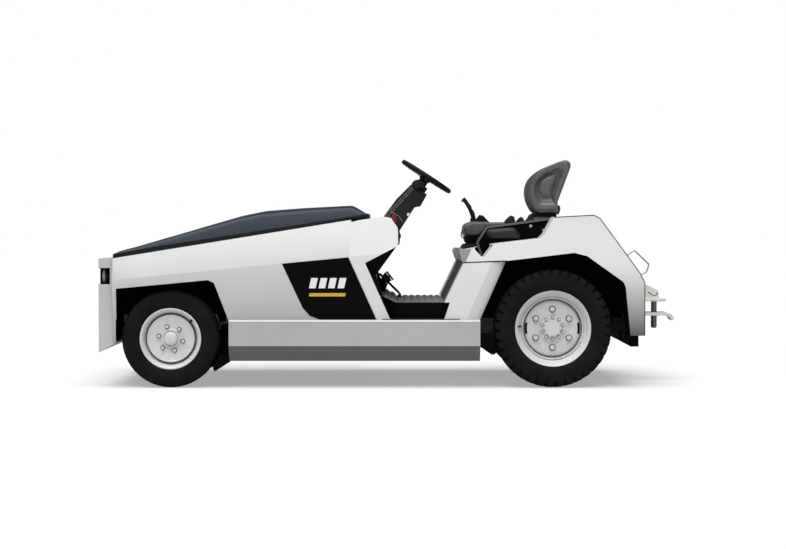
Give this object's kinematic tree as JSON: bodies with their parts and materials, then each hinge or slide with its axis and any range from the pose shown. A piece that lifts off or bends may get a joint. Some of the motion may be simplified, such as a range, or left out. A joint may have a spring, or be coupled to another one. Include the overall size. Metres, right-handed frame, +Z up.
{
  "type": "airport baggage tug",
  "caption": "Electric airport baggage tug with a tilting hood, open driver's place, steered front wheels and a rear pin hitch.",
  "frame": {"origin": "on the ground at the middle of the overall length and width", "axes": "+X forward, +Y to the vehicle's left, +Z up"},
  "size_m": [3.566, 1.5058, 1.3991],
  "materials": {
    "body_white": "gloss paint, light grey white",
    "hood_grey": "gloss paint, dark blue grey",
    "black_paint": "satin black paint",
    "sill_grey": "satin grey paint",
    "bumper_grey": "satin grey paint",
    "chassis_black": "matt black paint",
    "steel": "bare steel",
    "plastic_black": "moulded, grained",
    "rubber_black": "matt",
    "tyre_black": "matt with tread",
    "rim_paint": "satin silver grey paint",
    "seat_vinyl": "black grained vinyl",
    "floor_metal": "matt grey paint, perforated",
    "hitch_paint": "satin grey paint",
    "pin_steel": "dark bare steel",
    "lamp_glass": "clear",
    "lamp_red": "red lens",
    "button_red": "red",
    "motor_paint": "dark paint",
    "battery_case": "matt dark paint"
  },
  "bodies": {
    "root": {"front_bumper": "bumper_grey", "headlamps": "lamp_glass", "body_side_left": "body_white", "body_side_right": "body_white", "access_panel_left": "black_paint", "access_panel_right": "black_paint", "hood_seal": "rubber_black", "cowl": "body_white", "footwell": "black_paint", "leg_guards": "black_paint", "dash_panel": "plastic_black", "steering_column": "plastic_black", "stop_button": "button_red", "sill_left": "sill_grey", "sill_right": "sill_grey", "floor_plate": "floor_metal", "step_riser_left": "black_paint", "step_riser_right": "black_paint", "seat_box": "black_paint", "rear_side_left": "body_white", "rear_side_right": "body_white", "seat_deck": "body_white", "fender_left": "body_white", "fender_right": "body_white", "rear_cover": "body_white", "front_liner_left": "chassis_black", "front_liner_right": "chassis_black", "rear_liner_left": "chassis_black", "rear_liner_right": "chassis_black", "chassis_frame": "chassis_black", "front_axle": "chassis_black", "front_springs": "steel", "rear_springs": "steel", "rear_axle": "motor_paint", "drive_motor": "motor_paint", "battery_block": "battery_case", "hitch_bracket": "hitch_paint", "tail_lamps": "lamp_red", "rear_loops": "steel", "seat_base": "plastic_black", "seat_cushion": "seat_vinyl", "seat_back": "plastic_black", "seat_back_pad": "seat_vinyl", "brake_lever": "plastic_black", "pedals": "rubber_black"},
    "hood": {"hood": "hood_grey"},
    "steering_wheel": {"steering_wheel": "plastic_black"},
    "knuckle_left": {"knuckle_left": "chassis_black"},
    "knuckle_right": {"knuckle_right": "chassis_black"},
    "tie_rod": {"tie_rod": "steel"},
    "wheel_front_left": {"front_rim_left": "rim_paint", "front_tyre_left": "tyre_black"},
    "wheel_front_right": {"front_rim_right": "rim_paint", "front_tyre_right": "tyre_black"},
    "wheel_rear_left": {"rear_rim_left": "rim_paint", "rear_tyre_left": "tyre_black"},
    "wheel_rear_right": {"rear_rim_right": "rim_paint", "rear_tyre_right": "tyre_black"},
    "hitch_pin": {"hitch_pin": "pin_steel"}
  },
  "joints": [
    {"name": "hood_hinge", "type": "hinge", "parent": "root", "child": "hood", "pos_m": [1.709, 0, 0.795], "axis": [0, 1, 0], "range_deg": [0, 60]},
    {"name": "steering_wheel_turn", "type": "hinge", "parent": "root", "child": "steering_wheel", "pos_m": [-0.205, 0, 1.292], "axis": [-0.5446, 0, 0.8387], "range_deg": [-540, 540]},
    {"name": "steer_left", "type": "hinge", "parent": "root", "child": "knuckle_left", "pos_m": [1.35, 0.57, 0.296], "axis": [0, 0, 1], "range_deg": [-30, 30]},
    {"name": "steer_right", "type": "hinge", "parent": "root", "child": "knuckle_right", "pos_m": [1.35, -0.57, 0.296], "axis": [0, 0, 1], "range_deg": [-30, 30]},
    {"name": "tie_rod_pivot", "type": "hinge", "parent": "knuckle_left", "child": "tie_rod", "pos_m": [1.24, 0.57, 0.262], "axis": [0, 0, 1], "range_deg": [-30, 30]},
    {"name": "front_left_spin", "type": "hinge", "parent": "knuckle_left", "child": "wheel_front_left", "pos_m": [1.35, 0.64, 0.296], "axis": [0, 1, 0], "continuous": true},
    {"name": "front_right_spin", "type": "hinge", "parent": "knuckle_right", "child": "wheel_front_right", "pos_m": [1.35, -0.64, 0.296], "axis": [0, 1, 0], "continuous": true},
    {"name": "rear_left_spin", "type": "hinge", "parent": "root", "child": "wheel_rear_left", "pos_m": [-0.957, 0.632, 0.357], "axis": [0, 1, 0], "continuous": true},
    {"name": "rear_right_spin", "type": "hinge", "parent": "root", "child": "wheel_rear_right", "pos_m": [-0.957, -0.632, 0.357], "axis": [0, 1, 0], "continuous": true},
    {"name": "hitch_pin_lift", "type": "slide", "parent": "root", "child": "hitch_pin", "axis": [0, 0, 1], "range_m": [0, 0.11]}
  ],
  "couplings": [
    {"joint": "steer_left", "follows": "steering_wheel_turn", "ratio": 0.055556},
    {"joint": "steer_right", "follows": "steering_wheel_turn", "ratio": 0.055556},
    {"joint": "tie_rod_pivot", "follows": "steering_wheel_turn", "ratio": -0.055556}
  ]
}
